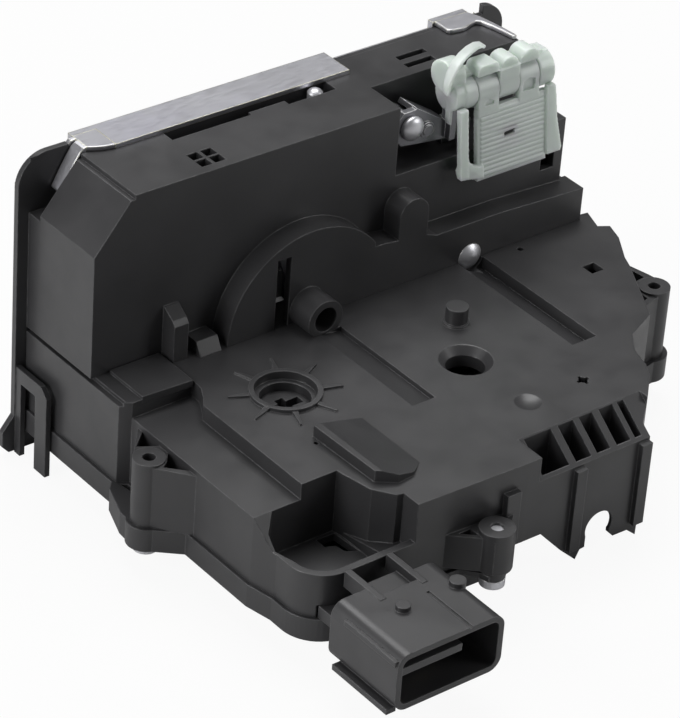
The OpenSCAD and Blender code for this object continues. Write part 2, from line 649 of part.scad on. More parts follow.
module lock_microswitch() color(black) translate([0, 0, carrier_z + 1.6]) {
  block([13, -33, 0], [26, -27, 6.8]);
  block([15, -30.6, 6.6], [17, -29.4, 7.8]);
  block([23, -31, 6.6], [24.6, -29, 7.6]);
}

module claw_microswitch() color(black) {
  block([-14, 40, 32], [-1, web_y, 38.6]);
  block([-12, 42.4, 31], [-10, 43.6, 32.2]);
}

module drive_motor() color(steel) difference() {
  union() {
    intersection() {
      disc_x(worm_y, worm_z, 56, 82, 10);
      block([55, worm_y - 12, worm_z - motor_h / 2], [83, worm_y + 12, worm_z + motor_h / 2]);
    }
    disc_x(worm_y, worm_z, 54.2, 57, 3);
    disc_x(worm_y, worm_z, 81, 83.6, 3);
  }
  disc_x(worm_y, worm_z, 50, 66, shaft_r + fit);
}

// Worm: an eccentric round section twisted once per pitch, on a plain shaft
module worm() color(steel) {
  len = 5 * worm_pitch;
  start = wheel_x - len / 2;
  translate([start, worm_y, worm_z]) rotate([0, 90, 0])
    rotate(270 - 360 * len / 2 / worm_pitch)
      linear_extrude(len, twist = -360 * len / worm_pitch, slices = 60)
        translate([worm_e, 0]) circle(r = worm_r, $fn = 24);
  disc_x(worm_y, worm_z, start - 1.4, start + 0.1, 2.2);
  disc_x(worm_y, worm_z, start + len - 0.1, start + len + 1.4, 2.2);
  disc_x(worm_y, worm_z, 27.2, 65, shaft_r);
}

module drive_gear() color([0.85, 0.84, 0.78]) difference() {
  union() {
    disc(wheel_x, wheel_y, -17.8, -14.2, wheel_r - 1.3);
    disc(wheel_x, wheel_y, -20, -11.6, 5.4);
    for (i = [0:wheel_teeth - 1]) translate([wheel_x, wheel_y, worm_z]) rotate(i * 360 / wheel_teeth)
      rotate([-8.8, 0, 0]) translate([0, 0, -1.6]) linear_extrude(3.2)
        polygon([[wheel_r - 2, -1.12], [wheel_r - 0.9, -1], [wheel_r + 0.7, -0.22], [wheel_r + 0.7, 0.22],
          [wheel_r - 0.9, 1], [wheel_r - 2, 1.12]]);
    disc(wheel_x - 7.6, wheel_y, -15, -9.4, 1.2);
  }
  disc(wheel_x, wheel_y, -21, -9, post_r + fit);
}

module lock_lever() color(black) difference() {
  union() {
    slab(-11.4, -9) union() {
      translate([wheel_x, wheel_y]) circle(r = 5);
      translate([wheel_x, wheel_y]) polygon([[-1, -4.9], [-1, 4.9], [-9, 3.2], [-25, 2.2], [-27, 0],
        [-25, -2.2], [-9, -3.2]]);
    }
    disc(wheel_x - 24, wheel_y, -14, -9, 1.5);
  }
  disc(wheel_x, wheel_y, -12, -8, post_r + fit);
  disc(wheel_x - 7.6, wheel_y, -12, -8, 1.25);
}

module key_hub() color(black) difference() {
  union() {
    disc(0, 0, -12, -3.4, 6);
    disc(0, 0, -12, -5, 8);
    slab(-8.6, -6.4) polygon([[0, -6], [14, -2.4], [16, 0], [14, 2.4], [0, 6]]);
  }
  disc(0, 0, -13, -7.9, post_r + fit);
  slab(-6.4, 0) square([9, 2.4], center = true);
  slab(-6.4, 0) square([2.4, 5.4], center = true);
}

module housing_screws() color(steel) for (b = bosses) difference() {
  union() {
    disc(b[0], b[1], -b[6] - 2, -b[6], 3);
    disc(b[0], b[1], -b[6] - 0.5, b[2] - b[4], 1.5);
  }
  translate([b[0], b[1], -b[6] - 3]) cylinder(h = 2.2, r = 1.4, $fn = 6);
}

module case_rivets() color(steel) {
  disc_y(73.2, 1, 22.1, 26.5, 0.9);
  // domed heads
  intersection() {
    translate([73.2, 26.24, 1]) sphere(r = 5.14);
    block([66, 20, -6], [80, 22.5, 8]);
  }
  disc(40.3, 45.8, box_top - 4.5, box_top - 0.4, 1.9);
  intersection() {
    translate([40.3, 45.8, box_top - 1.7]) sphere(r = 2.302);
    block([36, 42, box_top - 0.4], [44, 49, box_top + 3]);
  }
}

module outside_release_lever() color(steel) difference() {
  union() {
    slab_y(32.2, 33.8) polygon([[54.4, 35], [54.8, 38.6], [57, 40.8], [60.6, 40.9], [71.8, 33.7],
      [78, 33.6], [78, 30.2], [70, 30.2], [62, 31.2], [56.6, 32]]);
    // folded edge along the slope, and the upright ear that carries the cross pin
    slab_y(32.2, 38.6) polygon([[60, 40.2], [60.7, 41.3], [71, 34.6], [71, 33.1]]);
    block([70.2, rod_p[0] - 1.6, 30.4], [72, 33.8, rod_p[1]]);
    disc_x(rod_p[0], rod_p[1], 70.2, 72, 2.2);
    disc_x(rod_p[0], rod_p[1], 71, 104.2, rod_r);
    disc_x(rod_p[0], rod_p[1], 103.2, 104.3, 2.8);
    disc_y(75.2, 31.9, 33, 37.2, 1.2);
    disc_y(64, 34.7, 31.4, 33, 2.1);
    disc_y(64, 34.7, 31, 33, 1.4);
  }
  disc_y(lever_p[0], lever_p[1], 31, 34, 2.2 + fit);
}

module lever_rivet() color(steel) {
  disc_y(lever_p[0], lever_p[1], 31.1, recess_y + wall, 2.2);
  disc_y(lever_p[0], lever_p[1], 31.1, 32.1, 2.7);
  disc_y(lever_p[0], lever_p[1], 33.9, recess_y, 2.8);
}

module release_link() color(steel) difference() {
  union() {
    block([72, 35.2, 13], [77.8, 36.8, 34]);
    block([72, 35.2, 13], [77.8, claw_y + 3.2, 14.6]);
    block([72, claw_y + 1.6, -8], [77.8, claw_y + 3.2, 14.6]);
  }
  slab_y(35, 37) union() {
    translate([74.3, 31.9]) circle(r = 1.3);
    translate([74.3, 30.6]) square([1.1, 2.6]);
    translate([75.4, 31.9]) circle(r = 1.3);
  }
}

module rod_bore() disc_x(rod_p[0], rod_p[1], 60, 110, rod_r + 0.06);

module rod_clip() color(pale) difference() {
  y = rod_p[0];
  z = rod_p[1];
  clear = z + knuckle_r + gap;
  union() {
    for (x = clip_k) {
      disc_x(y, z, x[0], x[1], knuckle_r);
      block([x[0], y - 1.6, z], [x[1], y + 2.4, clear + 0.2]);
    }
    block([70, y - 1, clear], [99, y + 3, clear + 1.4]);
    // lobes along the top
    for (h = [[72.8, 77.6], [79.6, 85.2], [87, 91.2], [93, 97.4]]) intersection() {
      disc_x(y + 1, clear + 0.7, h[0], h[1], 2.2);
      block([h[0], y - 4, clear], [h[1], y + 5, clear + 5]);
    }
    // round stub and thin hook
    disc_x(y + 1.4, z + 6.6, 69.2, 74.2, 4.2);
    slab_y(y - 2, y - 0.6) difference() {
      translate([76, z + 2]) circle(r = 9.4);
      translate([76, z + 2]) circle(r = 8.3);
      translate([60, clear - 20]) square([40, 20]);
    }
  }
  rod_bore();
}

module flap_slab(x0, x1, z0, z1, d0, d1) intersection() {
  slab_x(x0, x1) polygon([[25 - d0, 18.5], [27.6 - d0, 38.8], [29.1 - d1, 38.8], [26.5 - d1, 18.5]]);
  block([x0 - 1, 10, z0], [x1 + 1, 60, z1]);
}

module clip_flap() color(pale) difference() {
  x0 = flap_k[0][0] - 1.6;
  x1 = flap_k[1][1] + 0.5;
  union() {
    for (x = flap_k) {
      disc_x(rod_p[0], rod_p[1], x[0], x[1], knuckle_r);
      block([x[0], 27.6, 37.4], [x[1], 30.4, rod_p[1]]);
    }
    flap_slab(x0, x1, 19.6, 38, 0, 0);
    for (i = [0:ridge_count - 1]) flap_slab(x0 + 0.8, x1 - 0.8, 21 + 16.4 * i / ridge_count,
      21.65 + 16.4 * i / ridge_count, 0.35, 1);
    // side bars, the left one joined at the foot of the flap
    flap_slab(68.8, clip_k[0][0] - gap, 19.8, 38, 0.7, 0);
    flap_slab(68.8, x0 + 3.5, 19.6, 22, 0.5, 0);
    flap_slab(x1 - 0.2, 102.6, 21, 38, 0.5, 0);
  }
  rod_bore();
  // slit
  block([84.6, 10, 29.9], [88.4, 60, 30.7]);
}

module inside_release_lever() color(steel) difference() {
  union() {
    slab(0, 3) union() {
      translate([8, 35.5]) circle(r = 4.4);
      polygon([[8, 32], [22, 33.6], [24, 33.6], [24, 37.3], [22, 37.3], [8, 39]]);
    }
    block([21.6, 33.6, 0], [24, 37.3, 7.4]);
  }
  disc(8, 35.5, -1, 9, 2 + fit);
}

actuator_cover();
actuator_base();
latch_case();
faceplate();
backing_plate();
claw();
claw_rivet();
claw_spring();
pawl();
pawl_rivet();
pawl_spring();
striker_bumper();
connector_shell();
connector_terminals();
circuit_carrier();
lock_microswitch();
claw_microswitch();
drive_motor();
worm();
drive_gear();
lock_lever();
key_hub();
housing_screws();
case_rivets();
outside_release_lever();
lever_rivet();
release_link();
rod_clip();
clip_flap();
inside_release_lever();
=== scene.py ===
"""Looks of a car door lock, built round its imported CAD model, in the frame that the model shares.

Blender's own lengths are in metres. The outlines of the replaced pieces are written in millimetres.
"""

import json
import math

import bmesh
import bpy
from mathutils import Matrix, Vector

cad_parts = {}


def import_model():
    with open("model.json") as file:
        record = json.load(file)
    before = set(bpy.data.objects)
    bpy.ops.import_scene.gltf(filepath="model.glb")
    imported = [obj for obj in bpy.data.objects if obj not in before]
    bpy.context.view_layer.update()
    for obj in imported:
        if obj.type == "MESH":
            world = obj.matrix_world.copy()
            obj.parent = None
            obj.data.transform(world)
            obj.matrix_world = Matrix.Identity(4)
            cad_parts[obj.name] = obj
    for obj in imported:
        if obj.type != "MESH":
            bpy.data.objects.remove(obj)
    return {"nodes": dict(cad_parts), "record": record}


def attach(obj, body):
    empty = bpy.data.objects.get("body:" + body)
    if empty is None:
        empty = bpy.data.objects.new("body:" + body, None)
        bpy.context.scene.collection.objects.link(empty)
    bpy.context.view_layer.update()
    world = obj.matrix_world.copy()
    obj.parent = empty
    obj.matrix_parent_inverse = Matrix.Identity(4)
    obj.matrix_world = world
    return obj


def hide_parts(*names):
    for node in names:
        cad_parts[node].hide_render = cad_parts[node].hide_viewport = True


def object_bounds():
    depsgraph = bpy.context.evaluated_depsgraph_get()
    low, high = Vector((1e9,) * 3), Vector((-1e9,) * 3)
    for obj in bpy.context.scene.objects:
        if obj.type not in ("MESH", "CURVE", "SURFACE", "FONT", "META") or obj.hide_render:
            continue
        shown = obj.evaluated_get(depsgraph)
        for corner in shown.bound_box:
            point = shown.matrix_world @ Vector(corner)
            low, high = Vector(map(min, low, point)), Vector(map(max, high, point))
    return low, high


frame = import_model()
cad_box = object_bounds()
nodes = frame["nodes"]
scene = bpy.context.scene

MM = 0.001
WELD = 1e-7  # corners nearer than this are one corner

# the camera, fitted to the photograph's straight edges
LENS = 185.415
SENSOR_WIDTH = 36.0
CAMERA_CLIP = (0.05, 20.0)
CAMERA_AT = (-0.446238, -0.546194, 0.469293)
CAMERA_AXES = ((0.788094, 0.293517, -0.541070),
               (-0.612294, 0.464156, -0.640043),
               (0.063277, 0.835708, 0.545517))

camera_data = bpy.data.cameras.new("camera")
camera_data.sensor_width = SENSOR_WIDTH
camera_data.lens = LENS
camera_data.clip_start, camera_data.clip_end = CAMERA_CLIP
camera = bpy.data.objects.new("camera", camera_data)
bpy.context.collection.objects.link(camera)
camera.matrix_world = Matrix.Translation(CAMERA_AT) @ Matrix(CAMERA_AXES).to_4x4()
bpy.context.scene.camera = camera
scene.view_settings.view_transform = "Standard"

MIDDLE = (0.3, 0.7)  # where most values of a noise lie
FLAT, ROUNDED = 0.995, 0.86  # rounded normal against true normal: on a flat face, on an edge that is painted paler, partly wear and partly a painted highlight


class Build:
    """Adds nodes to one material and links them with short calls."""

    def __init__(self, name):
        self.material = bpy.data.materials.new(name)
        self.material.use_nodes = True
        self.tree = self.material.node_tree
        self.tree.nodes.clear()
        self.shader = self.node("ShaderNodeBsdfPrincipled")
        out = self.node("ShaderNodeOutputMaterial")
        self.link(self.shader.outputs["BSDF"], out.inputs["Surface"])
        self.place = self.node("ShaderNodeTexCoord").outputs["Object"]

    def node(self, kind, **values):
        made = self.tree.nodes.new(kind)
        for key, value in values.items():
            setattr(made, key, value)
        return made

    def link(self, source, target):
        self.tree.links.new(source, target)

    def put(self, value, socket):
        """Links a socket's value, or writes a number or a colour on the socket."""
        if isinstance(value, bpy.types.NodeSocket):
            self.link(value, socket)
        elif isinstance(value, (int, float)):
            socket.default_value = value
        else:
            socket.default_value = (*value, 1.0)

    def noise(self, scale, detail, rough=0.55, stretch=None):
        made = self.node("ShaderNodeTexNoise")
        made.inputs["Scale"].default_value = scale
        made.inputs["Detail"].default_value = detail
        made.inputs["Roughness"].default_value = rough
        place = self.place
        if stretch:
            mapping = self.node("ShaderNodeMapping")
            mapping.inputs["Scale"].default_value = stretch
            self.link(place, mapping.inputs["Vector"])
            place = mapping.outputs["Vector"]
        self.link(place, made.inputs["Vector"])
        return made.outputs["Fac"]

    def span(self, value, low, high, to_low=0.0, to_high=1.0):
        made = self.node("ShaderNodeMapRange")
        for key, number in (("From Min", low), ("From Max", high), ("To Min", to_low), ("To Max", to_high)):
            made.inputs[key].default_value = number
        self.link(value, made.inputs["Value"])
        return made.outputs["Result"]

    def mix(self, amount, a, b):
        made = self.node("ShaderNodeMix", data_type="RGBA")
        # a colour mix has its colours on sockets 6 and 7, and its result on output 2
        for value, socket in ((amount, made.inputs["Factor"]), (a, made.inputs[6]), (b, made.inputs[7])):
            self.put(value, socket)
        return made.outputs[2]

    def multiply(self, a, b):
        made = self.node("ShaderNodeMath", operation="MULTIPLY")
        self.put(a, made.inputs[0])
        self.put(b, made.inputs[1])
        return made.outputs["Value"]

    def edges(self, radius):
        """(rounded normal, 0..1 mask of the edges)"""
        bevel = self.node("ShaderNodeBevel", samples=4)
        bevel.inputs["Radius"].default_value = radius
        geometry = self.node("ShaderNodeNewGeometry")
        dot = self.node("ShaderNodeVectorMath", operation="DOT_PRODUCT")
        self.link(bevel.outputs["Normal"], dot.inputs[0])
        self.link(geometry.outputs["Normal"], dot.inputs[1])
        return bevel.outputs["Normal"], self.span(dot.outputs["Value"], FLAT, ROUNDED)

    def bump(self, height, strength, distance, normal):
        made = self.node("ShaderNodeBump")
        made.inputs["Strength"].default_value = strength
        made.inputs["Distance"].default_value = distance
        self.link(height, made.inputs["Height"])
        self.link(normal, made.inputs["Normal"])
        return made.outputs["Normal"]

    def set(self, **values):
        for key, value in values.items():
            self.shader.inputs[key.replace("_", " ")].default_value = value

    def finish(self, colour, roughness, normal):
        self.link(colour, self.shader.inputs["Base Color"])
        self.link(roughness, self.shader.inputs["Roughness"])
        self.link(normal, self.shader.inputs["Normal"])
        return self.material


def moulded(name, colour, worn_and_lit, rough, grain=2600):
    """Injection-moulded plastic: fine spark texture, flow clouds, paler edges, partly rubbed wear and partly
    a painted highlight.
    """
    b = Build(name)
    rounded, wear_and_highlight = b.edges(0.0004)
    clouds = b.span(b.noise(38, 4), *MIDDLE)
    base = b.mix(clouds, [c * 0.82 for c in colour], [c * 1.18 for c in colour])
    # paler edges, in patches: partly wear, partly a painted highlight where light catches the edges
    patches = b.span(b.noise(420, 3), 0.35, 0.65, 0.25, 1.0)
    base = b.mix(b.multiply(wear_and_highlight, patches), base, worn_and_lit)
    roughness = b.span(b.noise(95, 4), *MIDDLE, rough - 0.07, rough + 0.07)
    texture = b.mix(0.3, b.noise(grain, 2), b.noise(grain / 7, 2))
    normal = b.bump(texture, 0.35, 0.00003, rounded)
    return b.finish(base, roughness, normal)


def metal(name, colour, worn_and_lit, rough, brushed=(1, 1, 1), tint=None, share=1.0):
    """Plated sheet or wire: rolled grain, soft blotches in the plating, brighter edges, partly wear and
    partly a painted highlight.
    """
    b = Build(name)
    rounded, wear_and_highlight = b.edges(0.0003)
    grain = b.noise(260, 3, stretch=brushed)
    blotches = b.span(b.noise(40, 4), 0.32, 0.68)
    base = b.mix(blotches, [c * 0.94 for c in colour], [c * 1.05 for c in colour])
    if tint:
        base = b.mix(b.span(b.noise(32, 5, 0.7), 0.45, 0.75, 0, 0.55), base, tint)
    # brighter edges: partly wear, partly a painted highlight
    base = b.mix(wear_and_highlight, base, worn_and_lit)
    roughness = b.span(grain, *MIDDLE, rough - 0.04, rough + 0.05)
    normal = b.bump(grain, 0.10, 0.00001, rounded)
    b.set(Metallic=share)
    return b.finish(base, roughness, normal)


def pale_clip(name):
    """Pale, slightly see-through moulding: light scatters a little way into it."""
    b = Build(name)
    rounded, wear_and_highlight = b.edges(0.0003)
    clouds = b.span(b.noise(60, 4), *MIDDLE)
    base = b.mix(clouds, (0.55, 0.61, 0.575), (0.62, 0.68, 0.645))
    # paler edges: partly wear, partly a painted highlight
    base = b.mix(b.multiply(wear_and_highlight, 0.5), base, (0.72, 0.78, 0.76))
    roughness = b.span(b.noise(150, 3), *MIDDLE, 0.28, 0.38)
    normal = b.bump(b.noise(700, 2), 0.08, 0.00002, rounded)
    b.set(Subsurface_Weight=1.0, Subsurface_Scale=0.004, Subsurface_Radius=(0.9, 1.0, 0.85), Coat_Weight=0.15)
    return b.finish(base, roughness, normal)


# each material: its own colour, then the paler colour of its edges, partly wear and partly a painted
# highlight
BY_SLOT = {
    "housing_plastic": moulded("housing_plastic", (0.0305, 0.0302, 0.0318), (0.135, 0.134, 0.138), 0.38),
    "bumper_rubber": moulded("bumper_rubber", (0.022, 0.022, 0.023), (0.045, 0.045, 0.046), 0.72, grain=1500),
    "carrier_plastic": moulded("carrier_plastic", (0.05, 0.075, 0.06), (0.11, 0.14, 0.12), 0.5),
    "gear_plastic": moulded("gear_plastic", (0.62, 0.60, 0.52), (0.74, 0.73, 0.66), 0.42),
    "zinc_plate": metal("zinc_plate", (0.50, 0.50, 0.53), (0.86, 0.84, 0.62), 0.40, (1, 6, 6),
                        tint=(0.47, 0.46, 0.55)),
    "plated_steel": metal("plated_steel", (0.66, 0.66, 0.69), (0.90, 0.90, 0.88), 0.40, share=0.85),
    "spring_steel": metal("spring_steel", (0.40, 0.40, 0.42), (0.60, 0.60, 0.62), 0.34),
    "motor_can": metal("motor_can", (0.60, 0.60, 0.59), (0.75, 0.75, 0.74), 0.35, (9, 1, 1)),
    "terminal_brass": metal("terminal_brass", (0.70, 0.61, 0.42), (0.84, 0.78, 0.62), 0.30),
    "clip_plastic": pale_clip("clip_plastic"),
}
# steel darkened to paint the shade that lies on the lever in its recess and on the parts listed below
SHADED_LEVER_STEEL = metal("lever_steel_painted_shade", (0.20, 0.20, 0.215), (0.90, 0.90, 0.90), 0.36, share=0.8)
SHADED_NODES = ("claw", "pawl", "release_link", "backing_plate")

# these parts take the darker steel, which paints the shade they lie in
for entry in frame["record"]["subparts"]:
    in_shade = entry["node"] in SHADED_NODES
    mesh = nodes[entry["node"]].data
    mesh.materials.clear()
    mesh.materials.append(SHADED_LEVER_STEEL if in_shade else BY_SLOT[entry["material_slot"]])


def arc(a, b, r, start, end, steps=24):
    """Points round a circle, angles in degrees."""
    turns = [math.radians(start + (end - start) * i / steps) for i in range(steps + 1)]
    return [(a + r * math.cos(t), b + r * math.sin(t)) for t in turns]


def box(x0, x1, z0, z1):
    """The outline of an upright rectangle."""
    return [(x0, z0), (x1, z0), (x1, z1), (x0, z1)]


class Solid:
    """Closed solids in millimetres, gathered in one mesh."""

    def __init__(self):
        self.bm = bmesh.new()

    def skin(self, rings, closed=False):
        """A tube of faces through rings of equal length; open ends get a cap."""
        made = [[self.bm.verts.new([v * MM for v in p]) for p in ring] for ring in rings]
        n = len(made[0])
        pairs = list(zip(made, made[1:])) + ([(made[-1], made[0])] if closed else [])
        for a, b in pairs:
            for i in range(n):
                self.bm.faces.new((a[i], a[(i + 1) % n], b[(i + 1) % n], b[i]))
        if not closed:
            self.bm.faces.new(made[0])
            self.bm.faces.new(made[-1][::-1])

    def prism(self, outline, axis, low, high):
        """An outline drawn across an axis, as a solid between two planes."""
        place = {"x": lambda a, b, c: (c, a, b),
                 "y": lambda a, b, c: (a, c, b),
                 "z": lambda a, b, c: (a, b, c)}[axis]
        self.skin([[place(a, b, c) for a, b in outline] for c in (low, high)])

    def disc(self, axis, a, b, r, low, high, steps=40):
        self.prism(arc(a, b, r, 0, 360 - 360 / steps, steps - 1), axis, low, high)

    def block(self, low, high):
        (x0, y0, z0), (x1, y1, z1) = low, high
        self.prism([(y0, z0), (y1, z0), (y1, z1), (y0, z1)], "x", x0, x1)

    def turned(self, profile, x, z, steps=56):
        """A profile of (radius, y) pairs turned about an axis along y."""
        rings = []
        for i in range(steps):
            t = 2 * math.pi * i / steps
            rings.append([(x + r * math.cos(t), y, z + r * math.sin(t)) for r, y in profile])
        self.skin(rings, closed=True)

    def loose(self, name, copied=False):
        """The solids as an object; a copied node keeps the direction of its faces."""
        bmesh.ops.remove_doubles(self.bm, verts=self.bm.verts, dist=WELD)
        if not copied:
            bmesh.ops.recalc_face_normals(self.bm, faces=self.bm.faces)
        mesh = bpy.data.meshes.new(name)
        self.bm.to_mesh(mesh)
        self.bm.free()
        # the node's stored shading doesn't fit the mesh once it is cut
        stale = mesh.attributes.get("custom_normal")
        if stale:
            mesh.attributes.remove(stale)
        made = bpy.data.objects.new(name, mesh)
        bpy.context.collection.objects.link(made)
        return made

    def piece(self, name, body, slot, replaced, copied=False):
        """The solids as a piece of the scene that rides on a body in place of a node."""
        made = self.loose(name, copied)
        made.data.materials.append(BY_SLOT[slot])
        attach(made, body)
        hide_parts(replaced)
        return made


def apply(made):
    """Puts the result of a piece's modifiers into its mesh."""
    bpy.context.view_layer.update()
    graph = bpy.context.evaluated_depsgraph_get()
    mesh = bpy.data.meshes.new_from_object(made.evaluated_get(graph), depsgraph=graph)
    made.modifiers.clear()
    made.data = mesh


def melt(made, passes):
    """Joins a piece's solids into one skin and rounds it as a soft moulding."""
    join = made.modifiers.new("join", "REMESH")
    join.mode = "VOXEL"
    join.voxel_size = 0.2 * MM
    melted = made.modifiers.new("round", "SMOOTH")
    melted.factor = 0.5
    melted.iterations = passes
    apply(made)


def carve(made, solid):
    """Cuts a solid out of a piece."""
    cutter = solid.loose("cutter")
    cut = made.modifiers.new("cut", "BOOLEAN")
    cut.operation = "DIFFERENCE"
    cut.solver = "EXACT"
    cut.object = cutter
    apply(made)
    bpy.data.objects.remove(cutter)


def add_rounded(made, solid, radius, least_angle=None):
    """Adds a solid with rounded edges to a piece, without joining their skins."""
    extra = solid.loose("extra")
    rounding = extra.modifiers.new("round", "BEVEL")
    rounding.width = radius * MM
    rounding.segments = 3
    if least_angle:
        rounding.angle_limit = math.radians(least_angle)
    apply(extra)
    both = bmesh.new()
    both.from_mesh(made.data)
    both.from_mesh(extra.data)
    both.to_mesh(made.data)
    both.free()
    bpy.data.objects.remove(extra)


def smooth(made):
    """Smooth shading with sharp edges where the faces meet at more than 35 degrees."""
    made.data.shade_smooth()
    made.data.set_sharp_from_angle(angle=math.radians(35))


# cross pin of the clip: its axis, its bore's radius, and the x at which the pin ends in the last lobe
PIN_Y, PIN_Z, PIN_R, PIN_END = 32.0, 42.0, 1.85, 99.0


def thin_hook():
    """A strip along a path over the stub, widest at its middle."""
    path = [(66.8, 28.4, 44.6), (66.9, 28.4, 47.2), (67.9, 28.6, 49.6), (69.9, 29.2, 51.4),
            (72.6, 30.2, 52.4), (75.6, 31.4, 52.7), (78.6, 32.6, 52.5), (81.0, 33.6, 51.7),
            (82.3, 34.2, 50.7)]
    last = len(path) - 1
    half_thick = 0.5
    rings = []
    for i, (x, y, z) in enumerate(path):
        before, after = path[max(0, i - 1)], path[min(last, i + 1)]
        dx, dz = after[0] - before[0], after[2] - before[2]
        size = math.hypot(dx, dz)
        out_x, out_z = -dz / size * half_thick, dx / size * half_thick
        wide = 0.9 + 0.9 * math.sin(math.pi * i / last)
        front, back = y - wide / 3, y + 0.6 + wide
        rings.append([(x + out_x, front, z + out_z), (x + out_x, back, z + out_z),
                      (x - out_x, back, z - out_z), (x - out_x, front, z - out_z)])
    hook = Solid()
    hook.skin(rings)
    return hook


def clip_top():
    """The clip's back half: knuckles on the pin, rounded fingers, a stub and a thin hook."""
    # x from, x to, radius
    knuckles = ((72.3, 75.9, 4.5), (82.55, 88.7, 4.6), (95.25, 99.7, 4.9))
    # x from, x to, top, corner radius
    fingers = ((75.8, 82.2, 49.9, 1.4), (82.7, 88.5, 50.0, 2.8), (89.0, 94.9, 50.4, 2.9))
    s = Solid()
    # round the lever's ear
    s.disc("x", PIN_Y, 42.4, 4.2, 69.4, 69.95)
    s.prism(arc(PIN_Y, 42.3, 4.3, -20, 225) + arc(PIN_Y, 42, 2.7, 225, -20), "x", 69.6, 72.8)
    for x0, x1, r in knuckles:
        s.disc("x", PIN_Y, PIN_Z + 0.2, r, x0, x1)
        s.block((x0 + 0.2, PIN_Y - 1.4, PIN_Z), (x1 - 0.2, PIN_Y + 2.6, 47.2))
    # bar along the top that carries the caps of the fingers
    s.block((72.5, PIN_Y - 1.6, 46.9), (97.5, PIN_Y + 2.2, 47.7))
    for x0, x1, top, r in fingers:
        crown = arc(x1 - r, top - r, r, 0, 90, 8) + arc(x0 + r, top - r, r, 90, 180, 8)
        s.prism([(x0, 46.85), (x1, 46.85)] + crown, "y", PIN_Y - 3.8, PIN_Y + 1.2)
    # the middle finger's front runs down to the window over the ridges
    s.block((82.55, PIN_Y - 4.2, 43.2), (88.7, PIN_Y - 1, 47.3))
    # web beside the lever's ear
    s.prism([(69.3, 41), (69.1, 36.8), (69.4, 35.2), (70.0, 35.0), (70.0, 41)], "y", 29.8, 31.6)
    # stub
    s.disc("x", PIN_Y + 1.4, 47.1, 4.1, 68.6, 73)
    made = s.piece("clip_top", "clip", "clip_plastic", "rod_clip")
    melt(made, 5)
    # added after the rounding, which would eat it
    add_rounded(made, thin_hook(), 0.35)
    bore = Solid()
    bore.disc("x", PIN_Y, PIN_Z, PIN_R, 69.9, PIN_END + 0.1)
    carve(made, bore)
    smooth(made)


def clip_leaf():
    """The clip's front leaf: ridged panel, two knuckles on the pin, and a bar at each side."""
    face_y, face_z, slope = 25.14, 19.6, 0.1275
    left_foot = [(69.4, 24.4), (69.7, 22.9), (70.8, 22.0), (77.0, 21.0), (77.0, 24.2), (75.6, 24.3),
                 (74.0, 24.9), (72.7, 26.2), (71.9, 28.6)]
    right_bar = [(97.3, 21.2), (101.6, 21.2), (102.0, 22.2), (100.6, 30), (100.1, 38.6), (99.6, 39.3),
                 (97.7, 39.2), (97.3, 38.0)]
    ridges, ridge_z, ridge_span, ridge_height = 14, 20.9, 16.8, 0.72
    s = Solid()

    def leaf(outline, out, thick):
        """An outline in x and z, laid on the leaf's slope: out stands proud of its face."""
        rings = []
        for y_add in (-out, thick - out):
            rings.append([(x, face_y + (z - face_z) * slope + y_add, z) for x, z in outline])
        s.skin(rings)

    leaf(box(75.8, 97.6, 19.8, 38.0), 0, 1.5)
    for i in range(ridges):
        z = ridge_z + ridge_span * i / ridges
        leaf(box(76.8, 96.8, z, z + ridge_height), 0.28, 1.0)
    for x0, x1 in ((76.05, 82.4), (88.85, 95.1)):
        s.disc("x", PIN_Y, PIN_Z, 4.6, x0, x1)
        leaf(box(x0, x1, 36.5, 43.4), 0.3, 1.8)
    leaf(box(69.5, 72.0, 22.4, 40.2), 1.5, 1.7)
    leaf(left_foot, 1.2, 1.9)
    leaf(right_bar, 0.9, 1.6)
    made = s.piece("clip_leaf", "flap", "clip_plastic", "clip_flap")
    melt(made, 4)
    # hollow behind the slit, so that it shows dark, then the slit: they overlap, so each is its own cut
    hollow = Solid()
    hollow.block((83.2, 26.75, 26.0), (88.4, 40, 31.6))
    carve(made, hollow)
    slit = Solid()
    slit.prism([(84.0, 29.3), (87.3, 29.6), (87.5, 30.8), (84.2, 30.6)], "y", 10, 60)
    carve(made, slit)
    bore = Solid()
    bore.disc("x", PIN_Y, PIN_Z, PIN_R, 66, 104)
    # shallow windows at the roots of the fingers
    bore.prism([(90.0, 39.4), (93.7, 39.4), (94.0, 40.6), (93.7, 42.2), (91.7, 42.9), (89.8, 42.2)],
               "y", 20, 28.1)
    bore.prism([(78.0, 38.9), (80.8, 38.9), (80.9, 39.8), (79.4, 40.5), (78.0, 39.9)], "y", 20, 27.8)
    carve(made, bore)
    smooth(made)


def lever_short():
    """The release lever as drawn, its cross pin ending inside the clip's last lobe."""
    on_plane = 1e-6
    s = Solid()
    s.bm.from_mesh(nodes["outside_release_lever"].data)
    bmesh.ops.remove_doubles(s.bm, verts=s.bm.verts, dist=WELD)
    around = s.bm.verts[:] + s.bm.edges[:] + s.bm.faces[:]
    end = PIN_END * MM
    bmesh.ops.bisect_plane(s.bm, geom=around, plane_co=(end, 0, 0), plane_no=(1, 0, 0), clear_outer=True)
    rim = [e for e in s.bm.edges if e.is_boundary and all(abs(v.co.x - end) < on_plane for v in e.verts)]
    bmesh.ops.edgeloop_fill(s.bm, edges=rim)
    made = s.piece("release_lever_plate", "release_lever", "plated_steel", "outside_release_lever",
                   copied=True)
    # the darker steel paints the shade that lies on the lever in its recess
    made.data.materials[0] = SHADED_LEVER_STEEL
    made.data.shade_flat()


